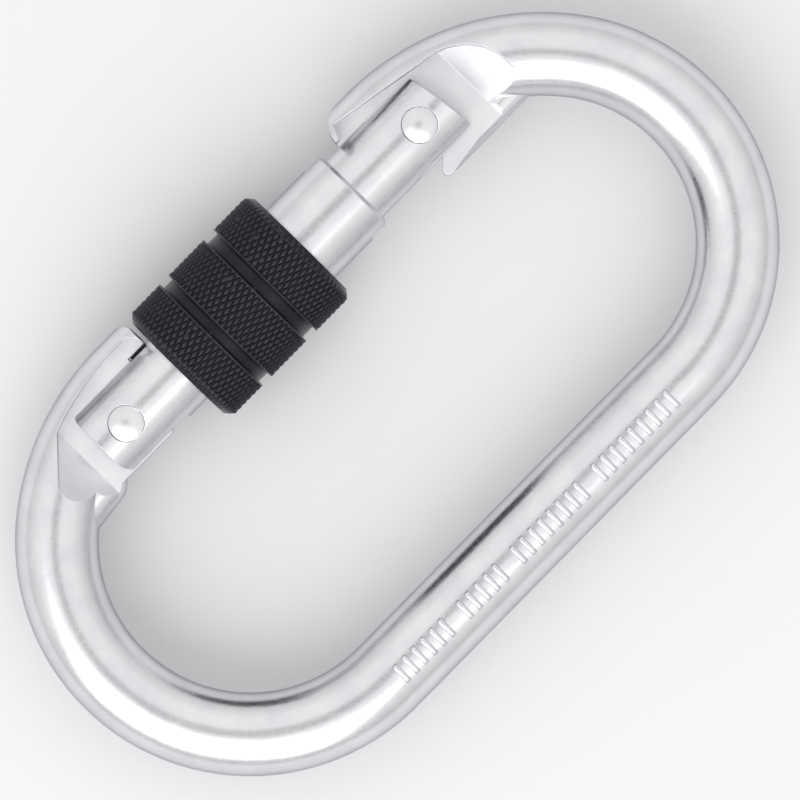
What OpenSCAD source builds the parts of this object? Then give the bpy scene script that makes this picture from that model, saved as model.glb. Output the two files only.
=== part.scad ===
// Oval screw-lock carabiner of round steel bar, with a sprung gate on the long side.
// It lies flat: +X runs along the oval to the nose, +Y points to the gate, +Z is up.
// The origin is the centre of the oval, in the mid-plane of the bar.

/* [Frame] */
// Length over the two bows
body_length = 108; // [90:1:130]
// Width over the spine and the arms
body_width = 58.4; // [52:0.2:70]
// Diameter of the round bar
bar_d = 10.2; // [9:0.1:12]
// How much flatter the nose bow is on the gate side, as extra radius
nose_flank_extra = 5.5; // [3:0.5:8]
// How much flatter the hinge bow is on the gate side, as extra radius
hinge_flank_extra = 6; // [3:0.5:8]

/* [Nose] */
// Distance from the end of the nose bow to the end of the milled flat
nose_flat_inset = 21; // [18:0.5:24]
// Length of the rim that shields the gate's tip
nose_rim_length = 16.6; // [14:0.1:18]
// Thickness of the web that enters the gate's fork
nose_web_t = 3; // [2.6:0.1:3.6]
// Thickness of the rim where it ends
nose_rim_t = 1.65; // [1.2:0.05:2.5]
// Thickness of the rim beside the gate's tip
nose_rim_root_t = 2.4; // [1.8:0.1:3.2]
// Thickness of the lip that closes the rim's end
nose_lip_t = 0.5; // [0.3:0.1:1]
// Radius of the rounded corner at the end of the rim
nose_rim_corner_r = 3.5; // [1:0.1:4]
// Slope of the ramp out of the milled flat
nose_ramp_angle = 33; // [24:1:45]
// Radius of the ramp's round outline
nose_ramp_r = 7.4; // [6:0.1:9]
// How far the web reaches inwards past the gate's axis
nose_reach = 7.2; // [6.5:0.1:8]
// Radius of the round inner edge of the web
nose_edge_r = 1.8; // [1.6:0.1:2.6]
// Length of the web's tail below the rim
web_tail_length = 4.2; // [3:0.1:5]

/* [Hinge end] */
// Distance from the end of the hinge bow to the end of the milled flat
hinge_flat_inset = 21.7; // [19:0.1:24]
// Length of the rim beside the hinge
hinge_rim_length = 15.1; // [13:0.1:17]
// Thickness of the tongue that the gate straddles
tongue_t = 3.6; // [3:0.1:4.4]
// Thickness of the rim beside the sleeve
hinge_rim_t = 1.7; // [1.2:0.05:2.5]
// Thickness of the rim beside the gate's tail
hinge_rim_root_t = 2.3; // [1.8:0.1:3]
// Slope of the ramp out of the milled flat
hinge_ramp_angle = 34; // [24:1:45]
// Distance from the hinge axis to the tongue's top edge
cam_height = 3.9; // [3.6:0.05:4.4]
// Plunger travel for each radian that the gate opens
cam_lift = 2.2; // [1.5:0.1:2.3]
// Angle that the gate opens
gate_opening_angle = 33; // [20:1:35]

/* [Gate] */
// Distance of the gate's axis inwards from the arms' centreline
gate_inset = 3.75; // [3:0.05:4.5]
// Distance of the rivets inwards from the gate's axis
rivet_inset = 0.3; // [0:0.05:0.5]
// Gap between the gate's tip and the end of the nose flat
gate_nose_gap = 4.1; // [3:0.1:6]
// Gap between the gate's tail and the end of the hinge flat
gate_hinge_gap = 2.5; // [1.5:0.1:4]
// Diameter of the gate's tip and tail
gate_d = 10.2; // [9:0.1:11]
// Angle by which the gate's tip slants, longer on the inner side
tip_slant = 8; // [0:1:10]
// Diameter of the gate's collar, which is the thread's outer diameter
collar_d = 11.8; // [11:0.1:12.6]
// Distance from the collar's shoulder to the end of the nose rim
shoulder_gap = 2.4; // [1.5:0.1:4]
// Pitch of the sleeve's thread
thread_pitch = 1.75; // [1:0.25:2]
// Depth of the thread
thread_depth = 0.85; // [0.5:0.05:1]
// Number of thread turns on the gate
thread_turns = 10; // [7:1:12]
// Radius of the rounded corner at the tip, on the inner side
tip_inner_r = 1.2; // [0.5:0.1:2]
// Radius of the rounded corner at the tail, on the inner side
tail_inner_r = 2; // [0.5:0.1:2.5]
// Radius of the rounded corner at the tail, on the outer side
tail_outer_r = 1.2; // [0.5:0.1:2]

/* [Sleeve] */
// Outer diameter of the sleeve
sleeve_d = 17.6; // [16:0.1:19]
// Length of the sleeve
sleeve_length = 21.2; // [18:0.1:22]
// Gap between the sleeve, screwed down, and the hinge rim
sleeve_rest_gap = 0.7; // [0.3:0.1:2]
// Depth of the two smooth grooves
sleeve_groove_depth = 0.7; // [0.3:0.05:1]
// Width of the groove nearer to the nose
upper_groove_w = 1.7; // [1:0.1:3]
// Width of the groove nearer to the hinge
lower_groove_w = 1.5; // [1:0.1:3]
// Length of the grip band nearest to the nose
upper_band_length = 6.2; // [4:0.1:7]
// Length of the middle grip band
middle_band_length = 6.1; // [4:0.1:7]
// Chamfer on the sleeve's ends
sleeve_chamfer = 0.9; // [0.3:0.1:1.2]
// Thickness of the rubber friction ring's section
ring_section_d = 1.2; // [1:0.1:1.4]
// Distance of the friction ring from the sleeve's lower end
ring_inset = 3; // [2:0.1:5]

/* [Rivets and spring] */
// Distance from the gate's tail to the hinge axis
hinge_inset = 4.2; // [3.5:0.1:5]
// Distance from the gate's tip to the latch rivets
latch_inset = 3.9; // [3:0.1:5]
// Diameter of the hinge rivet's shank
hinge_shank_d = 3.4; // [3:0.1:3.6]
// Diameter of the latch rivets' shanks
latch_shank_d = 2.8; // [2.4:0.1:3]
// Diameter of the rivet heads
rivet_head_d = 4.4; // [3.8:0.1:4.8]
// Height of a rivet head's crown
rivet_crown = 0.6; // [0.3:0.05:1]
// How far a latch rivet's end hooks over the web's lip
latch_hook = 0.4; // [0.3:0.05:0.6]
// Diameter of the plunger
plunger_d = 5.7; // [5:0.1:6]
// Length of the plunger's guided part
plunger_length = 6.6; // [5:0.1:9]
// Diameter of the spring wire
wire_d = 0.7; // [0.5:0.05:0.9]
// Number of coils in the spring
coils = 13; // [8:1:14]

/* [Clearances] */
// Gap between the gate and what it passes when it swings
swing_gap = 0.3; // [0.2:0.05:0.5]
// Gap between the gate's forks and the web or the tongue in them
side_gap = 0.2; // [0.15:0.05:0.3]
// Radial gap of a part that turns or slides in a bore
running_gap = 0.05; // [0.02:0.01:0.1]
// Radial gap between the sleeve's bore and the gate's thread
thread_gap = 0.1; // [0.05:0.01:0.1]
// Gap between the plunger and the cam
touch_gap = 0.05; // [0.02:0.01:0.1]

/* [Hidden] */
$fn = 96;
OVER = 1;

bar_r = bar_d / 2;
arm_y = body_width / 2 - bar_r;
gate_y = arm_y - gate_inset;
rivet_y = gate_y - rivet_inset;

// Stations along the gate, from the nose to the hinge
nose_flat_x = body_length / 2 - nose_flat_inset;
gate_tip_x = nose_flat_x - gate_nose_gap;
latch_x = gate_tip_x - latch_inset;
nose_rim_x = nose_flat_x - nose_rim_length;
shoulder_x = nose_rim_x - shoulder_gap;
web_tail_x = nose_rim_x - web_tail_length;
beak_x = latch_x - 0.6;
nose_root_x = nose_flat_x + 4;
hinge_flat_x = -body_length / 2 + hinge_flat_inset;
hinge_rim_x = hinge_flat_x + hinge_rim_length;
gate_tail_x = hinge_flat_x + gate_hinge_gap;
hinge_x = gate_tail_x + hinge_inset;
sleeve_x = hinge_rim_x + sleeve_rest_gap;

// The gate
gate_r = gate_d / 2;
collar_r = collar_d / 2;
tip_reach = gate_r * tan(tip_slant);
thread_inset = 2;
thread_x = sleeve_x + thread_inset;
bore_r = plunger_d / 2 + running_gap;
cam_reach = norm([cam_height + cam_lift * gate_opening_angle * PI / 180, cam_lift]);
tongue_slot_x = hinge_x + cam_reach + swing_gap;
tongue_slot_t = tongue_t + 2 * side_gap;
lip_z = nose_web_t / 2 + side_gap + latch_hook;
web_slot_t = nose_web_t + 2 * side_gap;
lip_slot_t = 2 * (lip_z + side_gap);
lip_reach = latch_x - hinge_x - latch_shank_d / 2 - swing_gap;
lip_w = 2;
lip_slot_x = hinge_x + lip_reach - lip_w - 2 * swing_gap;
path_y = gate_y + gate_r + swing_gap;
fork_end_gap = 0.9;
web_slot_x = web_tail_x - fork_end_gap;
bore_wall = 2.3;
bore_end_x = web_slot_x - bore_wall;

// Rivet heads sit on flat seats in the gate's round sides
head_r = rivet_head_d / 2;
head_seat_z = sqrt(pow(gate_r, 2) - pow(head_r + rivet_inset, 2));
head_rim = 0.45;
head_ball_r = (pow(head_r, 2) + pow(rivet_crown, 2)) / (2 * rivet_crown);
latch_end_z = nose_web_t / 2 + side_gap;

// The sleeve
sleeve_r = sleeve_d / 2;
sleeve_bore_r = collar_r + thread_gap;
ring_r = ring_section_d / 2;
ring_mean_r = sleeve_bore_r + ring_r;
ring_x = sleeve_x + ring_inset;

// The plunger and the spring
plunger_x = hinge_x + cam_height + touch_gap;
spring_seat_x = plunger_x + plunger_length;
wire_r = wire_d / 2;
spigot_r = 1.4;
spigot_length = 3;
coil_r = bore_r - swing_gap - wire_r;

// ---- Shared shapes ----

// A cylinder along +X from x0 to x1, at height y in the mid-plane
module rod_x(x0, x1, y, r) {
    translate([x0, y, 0])
        rotate([0, 90, 0])
            cylinder(r = r, h = x1 - x0);
}

// A bent stretch of bar round the centre c: a whole ring, kept between the directions of
// the three vectors v, in turn
module bent_bar(c, r, v) {
    far = 4 * body_width;
    translate([c[0], c[1], 0])
        intersection() {
            rotate_extrude()
                translate([r, 0])
                    circle(r = bar_r);
            linear_extrude(2 * bar_d, center = true)
                polygon([[0, 0], far * v[0], far * v[1], far * v[2]]);
        }
}

// A body turned about the gate's axis, from points of [radius, x]
module turned(points) {
    translate([0, gate_y, 0])
        rotate([0, 90, 0])
            rotate_extrude()
                polygon(points);
}

// A plate of thickness t, centred in the mid-plane
module plate(points, t) {
    linear_extrude(t, center = true)
        polygon(points);
}

module on_both_faces() {
    children();
    mirror([0, 0, 1])
        children();
}

// What rounds the corner at (x, y), which points along +Y and along sign * X
module corner_cut(x, y, r, sign) {
    translate([x - sign * r, y - r, 0])
        difference() {
            translate([sign > 0 ? 0 : -2 * r, 0, -bar_d])
                cube([2 * r, 2 * r, 2 * bar_d]);
            cylinder(r = r, h = 3 * bar_d, center = true);
        }
}

// ---- Frame ----

// One bow, at the +X end of the oval: two tangent arcs that meet along the direction join.
// The arc by the spine ends at the crown's side of the join, and the one by the gate is
// flatter by extra. Both arcs are tangent to the straight stretches when the crown lies
// crown_shift() towards the spine.
nose_join = [0.8, 0.6];
hinge_join = [0.6, 0.8];

function crown_shift(extra, join) = extra * (1 - join[1]) / 2;
function spine_arc_r(extra, join) = arm_y - crown_shift(extra, join);
function spine_arc_c(extra, join) =
    [body_length / 2 - bar_r - spine_arc_r(extra, join), -crown_shift(extra, join)];
function flank_arc_c(extra, join) = spine_arc_c(extra, join) - extra * join;

// The outer surface's height over the flatter arc of a bow, at distance x from the middle
function outer_y(x, extra, join) =
    let (c = flank_arc_c(extra, join), r = spine_arc_r(extra, join) + extra + bar_r)
    c[1] + sqrt(pow(r, 2) - pow(max(x - c[0], 0), 2));

module bow(extra, join) {
    bent_bar(spine_arc_c(extra, join), spine_arc_r(extra, join), [[0, -1], [1, -1], join]);
    bent_bar(flank_arc_c(extra, join), spine_arc_r(extra, join) + extra, [join, [1, 1], [0, 1]]);
}

// The curve that a flat-ended plunger needs to move in step with the gate.
// At opening angle a its end stands cam_height + cam_lift * a past the hinge axis.
function cam_point(a) =
    let (h = cam_height + cam_lift * a * PI / 180)
    [h * cos(a) - cam_lift * sin(a), -h * sin(a) - cam_lift * cos(a)];

// The tongue that the gate's tail straddles, rooted in the bar behind the milled flat. Past
// the cam it reaches on beside the plunger, to the end of the gate's slot.
module hinge_tongue() {
    steps = 12;
    beside_y = gate_y + plunger_d / 2 + swing_gap;
    beside_x = tongue_slot_x - swing_gap;
    root_depth = 3;
    root_rise = 2;
    neck_length = 1;
    cam = [for (i = [0:steps]) [hinge_x, rivet_y] + cam_point(gate_opening_angle * i / steps)];
    neck_y = cam[steps][1];
    root_x = hinge_flat_x - root_depth;
    plate(concat(
        [
            [root_x, arm_y - bar_r / 2],
            [root_x, neck_y + root_rise],
            [hinge_flat_x + neck_length, neck_y]
        ],
        [for (i = [steps:-1:0]) cam[i]],
        [
            [hinge_x + cam_height, beside_y],
            [beside_x, beside_y],
            [beside_x, path_y + OVER]
        ]
    ), tongue_t);
}

// The thick inner edge of the bar between the hinge ramp and the tongue
module hinge_edge() {
    edge_r = 3;
    edge_length = 4.4;
    edge_depth = 5;
    edge_drop = 3.8;
    edge_angle = 7;
    translate([hinge_flat_x - edge_depth, gate_y - edge_drop, 0])
        rotate([0, 0, edge_angle]) {
            rotate([0, 90, 0])
                cylinder(r = edge_r, h = edge_length);
            translate([edge_length, 0, 0])
                sphere(r = edge_r);
        }
}

// A milled pocket on one face: a flat at floor_z up to flat_x, a ramp that rises beyond it
// at the given angle towards sign * X, and the plan outline that limits both
module pocket(floor_z, flat_x, back_x, angle, sign, outline) {
    top_z = bar_r + OVER;
    ramp_x = flat_x + sign * (top_z - floor_z) / tan(angle);
    intersection() {
        translate([0, body_width / 2 + OVER, 0])
            rotate([90, 0, 0])
                linear_extrude(body_width / 2)
                    polygon([[back_x, floor_z], [flat_x, floor_z], [ramp_x, top_z], [back_x, top_z]]);
        linear_extrude(bar_d)
            polygon(outline);
    }
}

// The pocket at the hinge: its wall follows the bow, clear of the gate and of its tail's
// swing, rounds off beside the sleeve and cuts across the bar beside the ramp
module hinge_pocket() {
    steps = 6;
    corner_r = 1.6;
    back_x = hinge_rim_x + bar_r;
    wall_end_x = hinge_rim_x - corner_r;
    inner_y = gate_y - 1.6 * gate_r;
    tail_corner = [hinge_inset, gate_r + rivet_inset] - [tail_outer_r, tail_outer_r];
    tail_swing_r = norm(tail_corner) + tail_outer_r + swing_gap;
    wall = [for (i = [0:steps])
        let (
            x = wall_end_x + (hinge_flat_x - wall_end_x) * i / steps,
            t = hinge_rim_t + (hinge_rim_root_t - hinge_rim_t) * i / steps,
            bow_y = outer_y(-x, hinge_flank_extra, hinge_join) - t,
            tail_y = rivet_y + sqrt(max(pow(tail_swing_r, 2) - pow(x - hinge_x, 2), 0))
        )
        [x, i < steps ? max(bow_y, path_y, tail_y) : bow_y]];
    corner = [for (a = [0:15:75])
        [wall_end_x + corner_r * cos(a), wall[0][1] - corner_r * (1 - sin(a))]];
    root_y = wall[steps][1];
    pocket(tongue_t / 2, hinge_flat_x, back_x, hinge_ramp_angle, -1, concat(
        [[back_x, corner[0][1]]],
        corner,
        wall,
        [
            [hinge_flat_x - 4.5, root_y - 4.8],
            [hinge_flat_x - 5.3, root_y - 6.8],
            [hinge_flat_x - 4.3, inner_y],
            [back_x, inner_y]
        ]
    ));
}

// The pocket at the nose: a straight wall, clear of the gate's tip, from the lip at the
// rim's end to the flat's end, then round the ramp
module nose_pocket() {
    back_x = nose_rim_x - bar_r;
    lip_x = nose_rim_x + nose_lip_t + nose_rim_corner_r / 4;
    wall_y = body_width / 2 - nose_rim_t;
    cheek_y = gate_y + sqrt(pow(gate_r, 2) - pow(nose_web_t / 2, 2)) + side_gap;
    clear_y = cheek_y - (wall_y - cheek_y) * gate_nose_gap / (gate_tip_x - lip_x);
    root_y = max(outer_y(nose_flat_x, nose_flank_extra, nose_join) - nose_rim_root_t, clear_y);
    inner_y = gate_y - 2 * gate_r;
    start = asin(7 / nose_ramp_r);
    ramp_c = [nose_flat_x, root_y] - nose_ramp_r * [cos(start), sin(start)];
    pocket(nose_web_t / 2, nose_flat_x, back_x, nose_ramp_angle, 1, concat(
        [[back_x, path_y], [nose_rim_x + nose_lip_t, path_y], [lip_x, wall_y]],
        [for (a = [start:-start / 8:0]) ramp_c + nose_ramp_r * [cos(a), sin(a)]],
        [[ramp_c[0] + nose_ramp_r, inner_y], [back_x, inner_y]]
    ));
}

// The web that the gate's fork straddles, with a beak inside and a tail for the sleeve
module nose_web() {
    tip_r = 0.7;
    tail_half = gate_r - swing_gap;
    tip_y = gate_y - nose_reach + tip_r;
    flank_y = gate_y - tail_half;
    tip_x = beak_x - (flank_y - tip_y) + tip_r * sqrt(2);
    tangent = tip_r / sqrt(2);
    plate([
        [nose_root_x, gate_y + bar_r / 2],
        [nose_rim_x + OVER, gate_y + tail_half],
        [web_tail_x, gate_y + tail_half],
        [web_tail_x, flank_y],
        [beak_x, flank_y],
        [tip_x - tangent, tip_y + tangent],
        [tip_x, tip_y - tip_r],
        [nose_root_x, tip_y - tip_r + nose_edge_r]
    ], nose_web_t);
    translate([tip_x, tip_y, 0])
        cylinder(r = tip_r, h = nose_web_t, center = true);
}

// The thick, round inner edge of the nose
module nose_edge() {
    rod_x(beak_x, nose_root_x, gate_y - nose_reach + nose_edge_r, nose_edge_r);
}

// Lips on the web's two faces: the latch rivets hook behind them and stop against them
module nose_lips() {
    half_w = 3.6;
    stop_y = latch_shank_d / 2 + swing_gap;
    translate([hinge_x, rivet_y, 0])
        linear_extrude(2 * lip_z, center = true) {
            intersection() {
                difference() {
                    circle(r = lip_reach);
                    circle(r = lip_reach - lip_w);
                }
                translate([lip_reach - 2 * lip_w, -half_w])
                    square([4 * lip_w, 2 * half_w]);
            }
            translate([lip_reach - lip_w, stop_y])
                square([lip_w + latch_shank_d, half_w - stop_y]);
        }
}

module bar() {
    spine_ends = [
        -spine_arc_c(hinge_flank_extra, hinge_join)[0],
        spine_arc_c(nose_flank_extra, nose_join)[0]
    ];
    arm_ends = [
        -flank_arc_c(hinge_flank_extra, hinge_join)[0],
        flank_arc_c(nose_flank_extra, nose_join)[0]
    ];
    rod_x(spine_ends[0], spine_ends[1], -arm_y, bar_r);
    rod_x(arm_ends[0], arm_ends[1], arm_y, bar_r);
    bow(nose_flank_extra, nose_join);
    mirror([1, 0, 0])
        bow(hinge_flank_extra, hinge_join);
}

// The opening between the two rims, with the rounded corners of the rims' ends. By the
// hinge rim it follows the round gate.
module gate_gap() {
    top_y = body_width / 2 + OVER;
    cam_x = hinge_x + cam_height;
    rim_rounding = 0.9;
    translate([hinge_rim_x, 0, -bar_d])
        cube([nose_rim_x - hinge_rim_x, top_y, 2 * bar_d]);
    translate([cam_x, 0, -bar_d])
        cube([hinge_rim_x - cam_x + OVER, gate_y, 2 * bar_d]);
    rod_x(cam_x, hinge_rim_x + OVER, gate_y, gate_r + swing_gap);
    corner_cut(nose_rim_x, body_width / 2, nose_rim_corner_r, -1);
    corner_cut(hinge_rim_x, body_width / 2, rim_rounding * hinge_rim_t, 1);
}

module milled_bar() {
    difference() {
        union() {
            bar();
            nose_edge();
            hinge_edge();
        }
        on_both_faces() {
            nose_pocket();
            hinge_pocket();
        }
        gate_gap();
    }
}

module frame() {
    color("silver")
        difference() {
            union() {
                milled_bar();
                nose_web();
                nose_lips();
                hinge_tongue();
            }
            rivet_hole(hinge_x, hinge_shank_d / 2 + running_gap);
        }
}

// ---- Gate ----

module gate_blank() {
    edge = 0.4;
    end_x = gate_tip_x + tip_reach;
    turned(concat(
        [[0, gate_tail_x], [gate_r, gate_tail_x], [gate_r, thread_x]],
        [for (i = [0:thread_turns], crest = [0, 1])
            [collar_r - (1 - crest) * thread_depth, thread_x + (i + crest / 2) * thread_pitch]],
        [[collar_r, shoulder_x - edge], [collar_r - edge, shoulder_x], [gate_r, shoulder_x]],
        [[gate_r, end_x], [0, end_x]]
    ));
}

// What slants the gate's tip
module tip_cut() {
    translate([gate_tip_x, gate_y, 0])
        rotate([0, 0, tip_slant])
            translate([0, -gate_d, -gate_d])
                cube([gate_d, 2 * gate_d, 2 * gate_d]);
}

// A slot across the gate, open towards both of its sides
module cross_slot(x0, x1, t) {
    translate([x0, gate_y - gate_d, -t / 2])
        cube([x1 - x0, 2 * gate_d, t]);
}

// A hole through the gate at station x, along Z
module rivet_hole(x, r) {
    translate([x, rivet_y, 0])
        cylinder(r = r, h = 4 * gate_r, center = true);
}

// The flat seat of a rivet's head on one face
module head_seat(x) {
    translate([x, rivet_y, head_seat_z])
        cylinder(r = head_r + running_gap, h = gate_r);
}

module gate_barrel() {
    inner_corner_y = gate_y - gate_r;
    outer_corner_y = gate_y + gate_r;
    color("gainsboro")
        difference() {
            gate_blank();
            cross_slot(gate_tail_x - OVER, tongue_slot_x, tongue_slot_t);
            cross_slot(web_slot_x, gate_tip_x + gate_r, web_slot_t);
            cross_slot(lip_slot_x, gate_tip_x + gate_r, lip_slot_t);
            tip_cut();
            rod_x(gate_tail_x - OVER, bore_end_x, gate_y, bore_r);
            rivet_hole(hinge_x, hinge_shank_d / 2);
            rivet_hole(latch_x, latch_shank_d / 2);
            on_both_faces() {
                head_seat(hinge_x);
                head_seat(latch_x);
            }
            corner_cut(gate_tail_x, outer_corner_y, tail_outer_r, -1);
            mirror([0, 1, 0]) {
                corner_cut(gate_tail_x, -inner_corner_y, tail_inner_r, -1);
                corner_cut(gate_tip_x + tip_reach, -inner_corner_y, tip_inner_r, 1);
            }
        }
}

// ---- Rivets ----

// A peened head: a low rim with a shallow dome on it
module rivet_head(x) {
    translate([x, rivet_y, head_seat_z]) {
        cylinder(r = head_r, h = head_rim);
        translate([0, 0, head_rim])
            intersection() {
                translate([0, 0, rivet_crown - head_ball_r])
                    sphere(r = head_ball_r);
                cylinder(r = head_r, h = rivet_crown + OVER);
            }
    }
}

module hinge_rivet() {
    color("lightgray") {
        translate([hinge_x, rivet_y, 0])
            cylinder(d = hinge_shank_d, h = 2 * (head_seat_z + head_rim), center = true);
        on_both_faces()
            rivet_head(hinge_x);
    }
}

module latch_rivets() {
    color("lightgray")
        on_both_faces() {
            translate([latch_x, rivet_y, latch_end_z])
                cylinder(d = latch_shank_d, h = head_seat_z - latch_end_z);
            rivet_head(latch_x);
        }
}

// ---- Spring and plunger ----

// A round wire wound on a helix along +X, with a ring of points at each step of the path
module gate_spring() {
    sides = 8;
    steps_a_turn = 20;
    steps = coils * steps_a_turn;
    x0 = spring_seat_x + touch_gap + wire_r;
    rise = bore_end_x - touch_gap - wire_r - x0;
    points = [for (i = [0:steps], j = [0:sides - 1])
        let (
            turn = 360 * i / steps_a_turn,
            side = 360 * j / sides,
            r = coil_r + wire_r * cos(side)
        )
        [x0 + rise * i / steps + wire_r * sin(side), gate_y + r * cos(turn), r * sin(turn)]];
    walls = [for (i = [0:steps - 1], j = [0:sides - 1])
        let (k = (j + 1) % sides)
        [i * sides + j, i * sides + k, (i + 1) * sides + k, (i + 1) * sides + j]];
    ends = [
        [for (j = [sides - 1:-1:0]) j],
        [for (j = [0:sides - 1]) steps * sides + j]
    ];
    color("slategray")
        polyhedron(points, concat(walls, ends));
}

module spring_plunger() {
    color("darkgray")
        turned([
            [0, plunger_x],
            [plunger_d / 2, plunger_x],
            [plunger_d / 2, spring_seat_x],
            [spigot_r, spring_seat_x],
            [spigot_r, spring_seat_x + spigot_length],
            [0, spring_seat_x + spigot_length]
        ]);
}

// ---- Sleeve ----

module screw_sleeve() {
    end_x = sleeve_x + sleeve_length;
    upper_groove_x = end_x - upper_band_length - upper_groove_w;
    lower_groove_x = upper_groove_x - middle_band_length - lower_groove_w;
    groove_r = sleeve_r - sleeve_groove_depth;
    mouth_r = sleeve_bore_r + sleeve_chamfer / 2;
    seat_half = ring_r + running_gap;
    color("#20222b")
        turned([
            [mouth_r, sleeve_x],
            [sleeve_r - sleeve_chamfer, sleeve_x],
            [sleeve_r, sleeve_x + sleeve_chamfer],
            [sleeve_r, lower_groove_x],
            [groove_r, lower_groove_x],
            [groove_r, lower_groove_x + lower_groove_w],
            [sleeve_r, lower_groove_x + lower_groove_w],
            [sleeve_r, upper_groove_x],
            [groove_r, upper_groove_x],
            [groove_r, upper_groove_x + upper_groove_w],
            [sleeve_r, upper_groove_x + upper_groove_w],
            [sleeve_r, end_x - sleeve_chamfer],
            [sleeve_r - sleeve_chamfer, end_x],
            [mouth_r, end_x],
            [sleeve_bore_r, end_x - sleeve_chamfer / 2],
            [sleeve_bore_r, ring_x + seat_half],
            [ring_mean_r + seat_half, ring_x + seat_half],
            [ring_mean_r + seat_half, ring_x - seat_half],
            [sleeve_bore_r, ring_x - seat_half],
            [sleeve_bore_r, sleeve_x + sleeve_chamfer / 2]
        ]);
}

module sleeve_friction_ring() {
    color("black")
        translate([ring_x, gate_y, 0])
            rotate([0, 90, 0])
                rotate_extrude()
                    translate([ring_mean_r, 0])
                        circle(r = ring_r);
}

frame();
gate_barrel();
hinge_rivet();
latch_rivets();
gate_spring();
spring_plunger();
screw_sleeve();
sleeve_friction_ring();
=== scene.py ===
"""Looks of an oval screw-lock carabiner in bright zinc-plated steel with a black knurled sleeve.

Everything is in metres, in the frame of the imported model: +X runs to the nose, +Y to the gate,
+Z out of the face that is seen. MM turns a length in millimetres into metres.
"""

import bmesh
import bpy
import numpy as np
from mathutils import Matrix, Vector


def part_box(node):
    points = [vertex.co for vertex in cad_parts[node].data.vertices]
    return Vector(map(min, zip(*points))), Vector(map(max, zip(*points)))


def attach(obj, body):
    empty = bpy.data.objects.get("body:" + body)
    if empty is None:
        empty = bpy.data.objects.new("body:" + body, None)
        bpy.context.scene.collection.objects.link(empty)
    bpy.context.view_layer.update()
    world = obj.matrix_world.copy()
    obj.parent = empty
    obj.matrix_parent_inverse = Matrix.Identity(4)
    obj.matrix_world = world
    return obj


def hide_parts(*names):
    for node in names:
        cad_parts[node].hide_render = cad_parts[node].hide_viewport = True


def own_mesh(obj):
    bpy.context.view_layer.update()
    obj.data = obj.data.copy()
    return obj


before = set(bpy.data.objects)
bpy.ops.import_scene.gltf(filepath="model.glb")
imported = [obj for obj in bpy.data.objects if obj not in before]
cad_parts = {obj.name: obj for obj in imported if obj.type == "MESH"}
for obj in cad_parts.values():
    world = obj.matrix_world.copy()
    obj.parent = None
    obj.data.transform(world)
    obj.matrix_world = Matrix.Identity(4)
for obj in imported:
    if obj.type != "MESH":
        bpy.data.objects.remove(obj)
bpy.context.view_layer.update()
MM = 0.001

# ---- The places that the looks depend on ----

sleeve_low, sleeve_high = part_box("screw_sleeve")
frame_low, frame_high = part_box("frame")
ring_low, ring_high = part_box("sleeve_friction_ring")
gate_y = (sleeve_low.y + sleeve_high.y) / 2
bar_r = frame_high.z
spine_y = frame_low.y + bar_r


# ---- Meshes ----

WELD_REACH = 0.001 * MM


def add_piece(name, verts, faces, material, body):
    """A smooth mesh object from whole arrays of corners and faces, which rides on a CAD body."""
    mesh = bpy.data.meshes.new(name)
    mesh.from_pydata(verts.tolist(), [], faces.tolist())
    mesh.shade_smooth()
    mesh.materials.append(material)
    piece = bpy.data.objects.new(name, mesh)
    bpy.context.scene.collection.objects.link(piece)
    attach(piece, body)
    return piece


def grid_faces(rows, columns, wrap_rows, wrap_columns):
    """Quads between neighbours of a rows x columns grid; a wrapped side joins its last line to its first."""
    i = np.arange(rows if wrap_rows else rows - 1)[:, None]
    j = np.arange(columns if wrap_columns else columns - 1)[None, :]
    i2, j2 = (i + 1) % rows, (j + 1) % columns
    quads = [i * columns + j, i * columns + j2, i2 * columns + j2, i2 * columns + j]
    return np.stack([q.ravel() for q in np.broadcast_arrays(*quads)], axis=1)


def round_gate_axis(x, radius, turn):
    """Corners at x and a radius from the gate's axis, turned from +Y towards +Z, as one list."""
    y, z = gate_y + radius * np.cos(turn), radius * np.sin(turn)
    return np.stack(np.broadcast_arrays(x, y, z), axis=-1).reshape(-1, 3)


def weld(mesh):
    """Joins corners that lie in the same place."""
    shape = bmesh.new()
    shape.from_mesh(mesh)
    bmesh.ops.remove_doubles(shape, verts=shape.verts, dist=WELD_REACH)
    shape.to_mesh(mesh)
    shape.free()


# ---- Knurled sleeve ----

# Its outline: end chamfers, softened corners, and two smooth grooves between three grip bands
CHAMFER = 0.9 * MM
SOFT_CORNER = 0.08 * MM
GROOVE_DEPTH = 0.7 * MM
# Each groove starts so far from the end that it is named for, and runs towards the high end
LOW_GROOVE_FROM_END, LOW_GROOVE_WIDTH = 5.7 * MM, 1.5 * MM
HIGH_GROOVE_FROM_END, HIGH_GROOVE_WIDTH = 7.9 * MM, 1.7 * MM
# Its bore, and the seat of the friction ring in it
BORE_R = 6.0 * MM
BORE_MOUTH = 0.45 * MM
RING_CLEARANCE = 0.05 * MM
RING_SEAT_HALF_WIDTH = 0.65 * MM
# Its knurl: ridges in each direction, degrees from the axis, depth, and how much taller the ridges
# would be if their crests weren't flat
KNURL_STARTS = 64
KNURL_ANGLE = 28
KNURL_DEPTH = 0.24 * MM
KNURL_FLAT = 1.15
# The knurl starts to fade this far from a groove, and has this share of its depth halfway down a chamfer
KNURL_RUN_OUT = 0.25 * MM
KNURL_ON_CHAMFER = 0.35
# The mesh
SLEEVE_STEPS_ROUND = 512
SLEEVE_STEP_ALONG = 0.18 * MM


def mirrored(points, middle):
    """Points of (x, r, grip) in reverse order, on the other side of x = middle."""
    return [(2 * middle - x, r, grip) for x, r, grip in reversed(points)]


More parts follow.
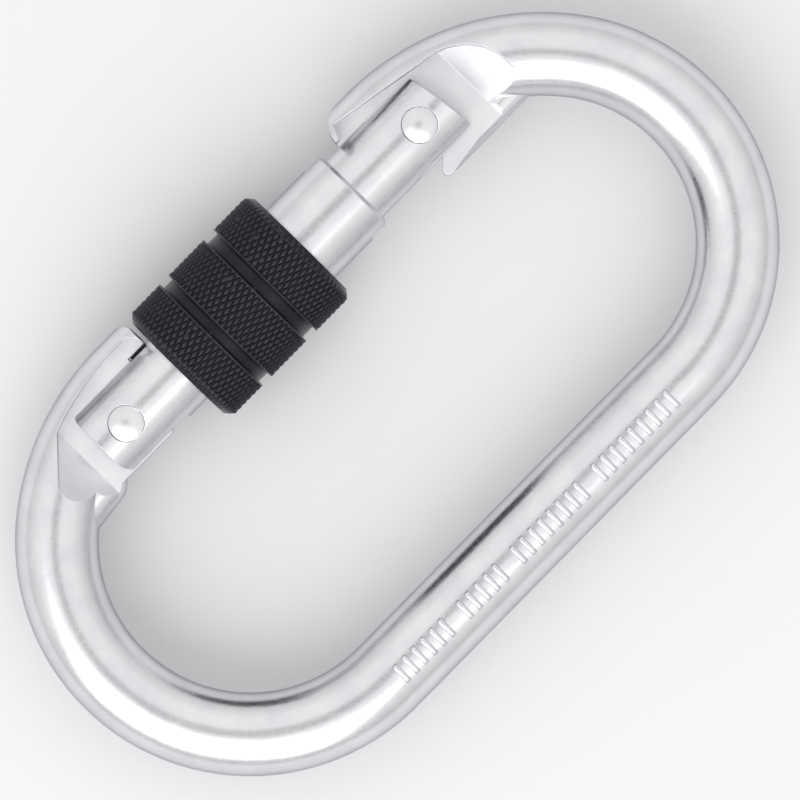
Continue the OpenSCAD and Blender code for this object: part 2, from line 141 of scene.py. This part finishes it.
def sleeve_groove(start, width, r):
    """The outline down into a smooth groove and up again, from one grip band to the next."""
    floor_r = r - GROOVE_DEPTH
    down = [(start - KNURL_RUN_OUT, r, 1), (start - SOFT_CORNER, r, 0), (start, r - SOFT_CORNER, 0),
            (start, floor_r + SOFT_CORNER, 0), (start + SOFT_CORNER, floor_r, 0)]
    return down + mirrored(down, start + width / 2)


def sleeve_outside():
    """The sleeve's outline from its low end to its high end, as points of (x, r, grip).

    grip is the share of the knurl's depth there: 1 on a band, less on a chamfer and 0 in a groove.
    """
    x0, x1 = sleeve_low.x, sleeve_high.x
    r = (sleeve_high.z - sleeve_low.z) / 2
    low_end = [(x0, r - CHAMFER - SOFT_CORNER, 0), (x0 + SOFT_CORNER, r - CHAMFER, 0),
               (x0 + CHAMFER / 2, r - CHAMFER / 2, KNURL_ON_CHAMFER), (x0 + CHAMFER, r, 1)]
    low_groove = sleeve_groove(x0 + LOW_GROOVE_FROM_END, LOW_GROOVE_WIDTH, r)
    high_groove = sleeve_groove(x1 - HIGH_GROOVE_FROM_END, HIGH_GROOVE_WIDTH, r)
    return low_end + low_groove + high_groove + mirrored(low_end, (x0 + x1) / 2)


def sleeve_inside():
    """The sleeve's bore from its high end to its low end, with the friction ring's seat."""
    x0, x1 = sleeve_low.x, sleeve_high.x
    ring_x = (ring_low.x + ring_high.x) / 2
    seat_r = (ring_high.z - ring_low.z) / 2 + RING_CLEARANCE
    seat_low, seat_high = ring_x - RING_SEAT_HALF_WIDTH, ring_x + RING_SEAT_HALF_WIDTH
    return [(x1, BORE_R + BORE_MOUTH, 0), (x1 - BORE_MOUTH, BORE_R, 0), (seat_high, BORE_R, 0),
            (seat_high, seat_r, 0), (seat_low, seat_r, 0), (seat_low, BORE_R, 0),
            (x0 + BORE_MOUTH, BORE_R, 0), (x0, BORE_R + BORE_MOUTH, 0)]


def stations_along(points, step):
    """A polyline through points of (x, r, grip), with extra points no further apart than step."""
    points = np.array(points, float)
    lengths = np.linalg.norm(np.diff(points[:, :2], axis=0), axis=1)
    counts = np.maximum(1, np.ceil(lengths / step)).astype(int)
    parts = [a + (b - a) * np.linspace(0, 1, n, endpoint=False)[:, None]
             for a, b, n in zip(points[:-1], points[1:], counts)]
    return np.concatenate(parts + [points[-1:]])


def knurled_sleeve(material):
    """The sleeve as a closed grid: stations along its outline and bore, by steps round its axis.

    The radius drops by grip * KNURL_DEPTH * (1 - min(1, KNURL_FLAT * min(a, b))), where a and b are
    triangle waves of two crossing helices: 0 in a groove's bottom and 1 midway between two grooves.
    """
    stations = np.concatenate([stations_along(sleeve_outside(), SLEEVE_STEP_ALONG), sleeve_inside()])
    x, r, grip = stations[:, 0:1], stations[:, 1:2], stations[:, 2:3]
    turn = np.linspace(0, 2 * np.pi, SLEEVE_STEPS_ROUND, endpoint=False)[None, :]
    twist = x * np.tan(np.radians(KNURL_ANGLE)) / r.max()
    waves = [np.abs(2 * (KNURL_STARTS * (turn + side * twist) / (2 * np.pi) % 1) - 1) for side in (1, -1)]
    height = np.minimum(1, KNURL_FLAT * np.minimum(*waves))
    verts = round_gate_axis(x, r - grip * KNURL_DEPTH * (1 - height), turn)
    faces = grid_faces(len(stations), SLEEVE_STEPS_ROUND, True, True)
    piece = add_piece("knurled_sleeve", verts, faces, material, "sleeve")
    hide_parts("screw_sleeve")


# ---- Spring inside the gate ----

WIRE_R = 0.35 * MM
WIRE_SIDES = 14
COILS = 13
STEPS_PER_COIL = 36


def coil_spring(material):
    """A round wire wound round the gate's axis, with closed ends.

    Station t from 0 to 1 lies COILS * t turns round and the same share of the way from the plunger to the
    seat. Each ring of the wire lies in the plane through the axis there, and a ring of no size at each
    end closes the wire.
    """
    low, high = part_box("gate_spring")
    coil_r = (high.z - low.z) / 2 - WIRE_R
    share = np.linspace(0, 1, COILS * STEPS_PER_COIL + 1)
    wire = np.full(len(share), WIRE_R)
    share, wire = np.pad(share, 1, mode="edge")[:, None], np.pad(wire, 1)[:, None]
    side = np.linspace(0, 2 * np.pi, WIRE_SIDES, endpoint=False)[None, :]
    x = low.x + WIRE_R + share * (high.x - low.x - 2 * WIRE_R) + wire * np.sin(side)
    verts = round_gate_axis(x, coil_r + wire * np.cos(side), 2 * np.pi * COILS * share)
    faces = grid_faces(len(share), WIRE_SIDES, False, True)[:, ::-1]
    piece = add_piece("coil_spring", verts, faces, material, "gate")
    weld(piece.data)
    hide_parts("gate_spring")
    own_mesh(piece)


# ---- Raised bars along the spine ----

BAR_RISE = 0.30 * MM
BAR_SINK = 0.12 * MM
BAR_HALF_WIDTH = 0.40 * MM
BAR_HALF_ANGLE = np.radians(17)
BAR_MIDDLE_ANGLE = np.radians(-9)
BAR_PITCH = 1.55 * MM
FIRST_BAR_X = -23.8 * MM
BAR_GROUPS = (6, 5, 8, 9)
BAR_STEPS_WIDE, BAR_STEPS_LONG = 13, 25


def spine_bars(material):
    """A row of plain raised bars on the spine's round face, with one place left empty between groups.

    Each bar is a closed pillow, with u from -1 to 1 over its width along X and v from -1 to 1 over its
    length round the spine. Its outside stands (BAR_RISE + BAR_SINK) * (1 - u^4) * (1 - v^8) above its
    underside, which lies BAR_SINK below the spine's surface.
    """
    across, along = np.linspace(-1, 1, BAR_STEPS_WIDE), np.linspace(-1, 1, BAR_STEPS_LONG)
    u, v = [a.ravel() for a in np.meshgrid(across, along, indexing="ij")]
    lift = (1 - u ** 4) * (1 - v ** 8) * (BAR_RISE + BAR_SINK) - BAR_SINK
    places = np.concatenate([np.arange(n) + sum(BAR_GROUPS[:k]) + k for k, n in enumerate(BAR_GROUPS)])
    x = FIRST_BAR_X + places[:, None, None] * BAR_PITCH + u * BAR_HALF_WIDTH
    angle = BAR_MIDDLE_ANGLE + v * BAR_HALF_ANGLE
    radius = bar_r + np.stack([lift, np.full_like(lift, -BAR_SINK)])
    y, z = spine_y + radius * np.sin(angle), radius * np.cos(angle)
    verts = np.stack(np.broadcast_arrays(x, y, z), axis=-1).reshape(-1, 3)
    sheet = grid_faces(BAR_STEPS_WIDE, BAR_STEPS_LONG, False, False)
    pillow = np.concatenate([sheet[:, ::-1], sheet + len(u)])
    faces = (pillow + 2 * len(u) * np.arange(len(places))[:, None, None]).reshape(-1, 4)
    piece = add_piece("spine_bars", verts, faces, material, "frame")
    weld(piece.data)


# ---- Nodes that the materials share ----

# Where nearly all of a noise's values lie
NOISE_LOW, NOISE_HIGH = 0.3, 0.7


def new_material(name):
    """A node material, its node tree and its main shader."""
    material = bpy.data.materials.new(name)
    material.use_nodes = True
    return material, material.node_tree, material.node_tree.nodes["Principled BSDF"]


def set_inputs(tree, node, inputs):
    """Sets a node's inputs: another node's output is linked to its input, and anything else is its value."""
    for name, value in inputs.items():
        if isinstance(value, bpy.types.NodeSocket):
            tree.links.new(value, node.inputs[name])
        else:
            node.inputs[name].default_value = value


def add_node(tree, kind, inputs):
    """A new node with its inputs set."""
    node = tree.nodes.new("ShaderNode" + kind)
    set_inputs(tree, node, inputs)
    return node


def noise(tree, scale, detail, roughness=0.5, stretch=(1, 1, 1)):
    """Noise on the piece's own coordinates, stretched by a Mapping; scale is in waves per metre."""
    place = add_node(tree, "TexCoord", {})
    mapping = add_node(tree, "Mapping", {"Vector": place.outputs["Object"], "Scale": stretch})
    texture = add_node(tree, "TexNoise", {"Vector": mapping.outputs["Vector"], "Scale": scale,
                                          "Detail": detail, "Roughness": roughness})
    return texture.outputs["Fac"]


def spread(tree, value, low, high, from_low=NOISE_LOW, from_high=NOISE_HIGH):
    """A value moved from one range to another."""
    node = add_node(tree, "MapRange", {"Value": value, "From Min": from_low, "From Max": from_high,
                                       "To Min": low, "To Max": high})
    return node.outputs["Result"]


def tint(tree, value, dark, light):
    """A colour between dark and light by value."""
    ramp = add_node(tree, "ValToRGB", {"Fac": value})
    low, high = ramp.color_ramp.elements
    low.color, high.color = (*dark, 1), (*light, 1)
    low.position, high.position = NOISE_LOW, NOISE_HIGH
    return ramp.outputs["Color"]


def bump(tree, height, depth, normal=None):
    """A bump of the given depth in metres, on top of another normal."""
    node = add_node(tree, "Bump", {"Strength": 1.0, "Distance": depth, "Height": height})
    if normal is not None:
        set_inputs(tree, node, {"Normal": normal})
    return node.outputs["Normal"]


def math_node(tree, operation, *values):
    """The result of one math node; its values are numbers or other nodes' outputs."""
    node = tree.nodes.new("ShaderNodeMath")
    node.operation = operation
    set_inputs(tree, node, dict(enumerate(values)))
    return node.outputs["Value"]


# ---- Materials ----

# How much a metal reflects at grazing angles
EDGE_TINT = (0.55, 0.55, 0.60, 1)
BEVEL_SAMPLES = 6
# A milled flat lies less than MILLED_DEPTH from the mid-plane; a ramp's normal has less Z than
# MILLED_SLOPE; neither has more Y than MILLED_LEAN in its normal
MILLED_DEPTH = 2.6 * MM
MILLED_SLOPE = 0.95
MILLED_LEAN = 0.03
MILLED_DULLNESS = 0.24
# Pointiness in the knurl's valleys and on its ridges, between which the sleeve's painted shade runs
VALLEY = 0.44
RIDGE = 0.56


def milled_faces(tree):
    """1 on the milled flats and ramps beside the gate, 0 on the round bar."""
    place = add_node(tree, "TexCoord", {})
    where = add_node(tree, "SeparateXYZ", {"Vector": place.outputs["Object"]})
    facing = add_node(tree, "SeparateXYZ", {"Vector": place.outputs["Normal"]})
    depth = math_node(tree, "ABSOLUTE", where.outputs["Z"])
    lean_y = math_node(tree, "ABSOLUTE", facing.outputs["Y"])
    lean_z = math_node(tree, "ABSOLUTE", facing.outputs["Z"])
    flat = math_node(tree, "LESS_THAN", depth, MILLED_DEPTH)
    ramp = math_node(tree, "LESS_THAN", lean_z, MILLED_SLOPE)
    upright = math_node(tree, "LESS_THAN", lean_y, MILLED_LEAN)
    beside_gate = math_node(tree, "GREATER_THAN", where.outputs["Y"], gate_y - 2 * bar_r)
    both = math_node(tree, "MULTIPLY", upright, beside_gate)
    return math_node(tree, "MULTIPLY", both, math_node(tree, "MAXIMUM", flat, ramp))


def zinc_steel(name, dark, light, rough, grain, wave, edge, milled=False):
    """Bright zinc plating on steel: clouded colour, a fine grain, faint drawn waves and softened edges.

    rough is its lowest and highest roughness, grain and wave are the depths of their bumps, and edge
    is the radius of the softened edges. Where milled is true, milled faces are duller.
    """
    material, tree, shader = new_material(name)
    clouds = noise(tree, 260, 3)
    speckle = noise(tree, 2600, 3, 0.6)
    drawn = noise(tree, 900, 2, 0.5, (0.12, 1, 1))
    roughness = spread(tree, speckle, *rough)
    if milled:
        dull = math_node(tree, "MULTIPLY", milled_faces(tree), MILLED_DULLNESS)
        roughness = math_node(tree, "ADD", roughness, dull)
    softened = add_node(tree, "Bevel", {"Radius": edge})
    softened.samples = BEVEL_SAMPLES
    waves = bump(tree, drawn, wave, softened.outputs["Normal"])
    set_inputs(tree, shader, {
        "Metallic": 1.0, "Specular Tint": EDGE_TINT, "Roughness": roughness,
        "Base Color": tint(tree, clouds, dark, light), "Normal": bump(tree, speckle, grain, waves)})
    return material


def black_anodised():
    """Black anodised aluminium with a violet cast, with painted shade: darker, with less specular level, in
    the knurl's valleys and paler on its ridges.
    """
    material, tree, shader = new_material("black_anodised_aluminium")
    patches = noise(tree, 700, 3)
    pits = noise(tree, 6000, 2)
    ridges = add_node(tree, "NewGeometry", {}).outputs["Pointiness"]
    # Painted shade and painted highlight: colour and specular level follow pointiness, dark in the knurl's
    # valleys and paler on its ridges
    painted_valley_shade = spread(tree, ridges, 0.0, 1.0, VALLEY, RIDGE)
    set_inputs(tree, shader, {
        "Metallic": 0.2, "Roughness": spread(tree, patches, 0.24, 0.34),
        "Base Color": tint(tree, painted_valley_shade, (0.002, 0.002, 0.005), (0.018, 0.0175, 0.028)),
        "Specular IOR Level": spread(tree, ridges, 0.05, 0.50, VALLEY, RIDGE),
        "Normal": bump(tree, pits, 0.004 * MM)})
    return material


def spring_wire():
    """Drawn spring wire: darker steel with fine lines."""
    material, tree, shader = new_material("drawn_spring_wire")
    lines = noise(tree, 4000, 2, 0.5, (0.3, 1, 1))
    set_inputs(tree, shader, {
        "Metallic": 1.0, "Roughness": spread(tree, lines, 0.25, 0.4),
        "Base Color": tint(tree, lines, (0.30, 0.31, 0.33), (0.46, 0.47, 0.50))})
    return material


def black_rubber():
    """Matt black rubber with a faint bloom."""
    material, tree, shader = new_material("black_rubber")
    bloom = noise(tree, 1500, 3)
    set_inputs(tree, shader, {
        "Roughness": spread(tree, bloom, 0.6, 0.8),
        "Base Color": tint(tree, bloom, (0.012, 0.012, 0.012), (0.03, 0.03, 0.03))})
    return material


def set_material(node, material):
    """Gives a CAD node a better material in its own slot."""
    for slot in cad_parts[node].material_slots:
        slot.material = material


# ---- Studio ----

CAMERA_DISTANCE = 0.8
CAMERA_SENSOR = 36
CAMERA_TURN = np.radians(45.5)
VIEW_WIDTH = 97.3 * MM
VIEW_RIGHT_OF_ORIGIN, VIEW_BELOW_ORIGIN = 0.86 * MM, 1.36 * MM
TABLE_HALF_WIDTH = 1.5
# The tent's brightness by how nearly a direction points at its top, and how much bluer than grey it is
TENT_TOP = Vector((0, 0.09, 1))
TENT_STOPS = [(0.0, 0.60), (0.30, 0.78), (0.75, 0.96), (0.97, 0.96), (0.998, 0.50)]
TENT_BLUE = 1.01
TENT_STRENGTH = 1.06


def camera():
    """A long lens straight above the face, turned so that the nose points up and to the right."""
    data = bpy.data.cameras.new("camera")
    data.sensor_width = CAMERA_SENSOR
    data.lens = CAMERA_SENSOR * CAMERA_DISTANCE / VIEW_WIDTH
    data.clip_start, data.clip_end = 0.01, 10
    eye = Matrix.Translation((VIEW_RIGHT_OF_ORIGIN, -VIEW_BELOW_ORIGIN, CAMERA_DISTANCE))
    item = bpy.data.objects.new("camera", data)
    item.matrix_world = Matrix.Rotation(-CAMERA_TURN, 4, "Z") @ eye
    bpy.context.scene.collection.objects.link(item)
    bpy.context.scene.camera = item


def floor():
    """A plain pale table top, as low as the sleeve's underside."""
    material, tree, shader = new_material("white_table")
    set_inputs(tree, shader, {
        "Base Color": (0.78, 0.78, 0.785, 1), "Roughness": 0.8, "Specular IOR Level": 0.1})
    half, z = TABLE_HALF_WIDTH, sleeve_low.z
    corners = [(-half, -half, z), (half, -half, z), (half, half, z), (-half, half, z)]
    mesh = bpy.data.meshes.new("floor")
    mesh.from_pydata(corners, [], [(0, 1, 2, 3)])
    mesh.materials.append(material)
    item = bpy.data.objects.new("floor", mesh)
    bpy.context.scene.collection.objects.link(item)


def softbox(name, direction, distance, size, power):
    """A rectangular area light of a power in watts, which faces the origin from a direction."""
    data = bpy.data.lights.new(name, "AREA")
    data.shape = "RECTANGLE"
    data.size, data.size_y = size
    data.energy = power
    item = bpy.data.objects.new(name, data)
    towards = Vector(direction).normalized()
    turn = towards.to_track_quat("Z", "Y").to_matrix().to_4x4()
    item.matrix_world = Matrix.Translation(towards * distance) @ turn
    bpy.context.scene.collection.objects.link(item)


def light_tent():
    """A pale tent all round, darker low down and round its top, where the camera looks in."""
    world = bpy.data.worlds.new("light_tent")
    bpy.context.scene.world = world
    world.use_nodes = True
    tree = world.node_tree
    place = add_node(tree, "TexCoord", {})
    height = tree.nodes.new("ShaderNodeVectorMath")
    height.operation = "DOT_PRODUCT"
    set_inputs(tree, height, {0: place.outputs["Generated"], 1: TENT_TOP.normalized()})
    ramp = add_node(tree, "ValToRGB", {"Fac": height.outputs["Value"]})
    ramp.color_ramp.interpolation = "EASE"
    while len(ramp.color_ramp.elements) < len(TENT_STOPS):
        ramp.color_ramp.elements.new(0.5)
    for element, (position, value) in zip(ramp.color_ramp.elements, TENT_STOPS):
        element.position = position
        element.color = (value, value, value * TENT_BLUE, 1)
    set_inputs(tree, tree.nodes["Background"], {"Color": ramp.outputs["Color"], "Strength": TENT_STRENGTH})


# ---- The scene ----

camera()
floor()
light_tent()
softbox("key_softbox", direction=(-0.62, -0.36, 0.70), distance=0.9, size=(1.2, 0.85), power=4.2)

frame_steel = zinc_steel("zinc_plated_bar", dark=(0.72, 0.72, 0.74), light=(0.80, 0.80, 0.81),
                         rough=(0.18, 0.28), grain=0.0005 * MM, wave=0.010 * MM, edge=0.22 * MM, milled=True)
gate_steel = zinc_steel("zinc_plated_gate", dark=(0.73, 0.73, 0.75), light=(0.81, 0.81, 0.82),
                        rough=(0.18, 0.28), grain=0.0008 * MM, wave=0.014 * MM, edge=0.15 * MM)
rivet_steel = zinc_steel("peened_rivet", dark=(0.74, 0.74, 0.75), light=(0.83, 0.83, 0.84),
                         rough=(0.24, 0.34), grain=0.001 * MM, wave=0.02 * MM, edge=0.12 * MM)
set_material("frame", frame_steel)
set_material("gate_barrel", gate_steel)
set_material("hinge_rivet", rivet_steel)
set_material("latch_rivets", rivet_steel)
set_material("spring_plunger", rivet_steel)
coil_spring(spring_wire())
set_material("sleeve_friction_ring", black_rubber())
knurled_sleeve(black_anodised())
spine_bars(frame_steel)

bpy.context.scene.view_settings.view_transform = "Standard"
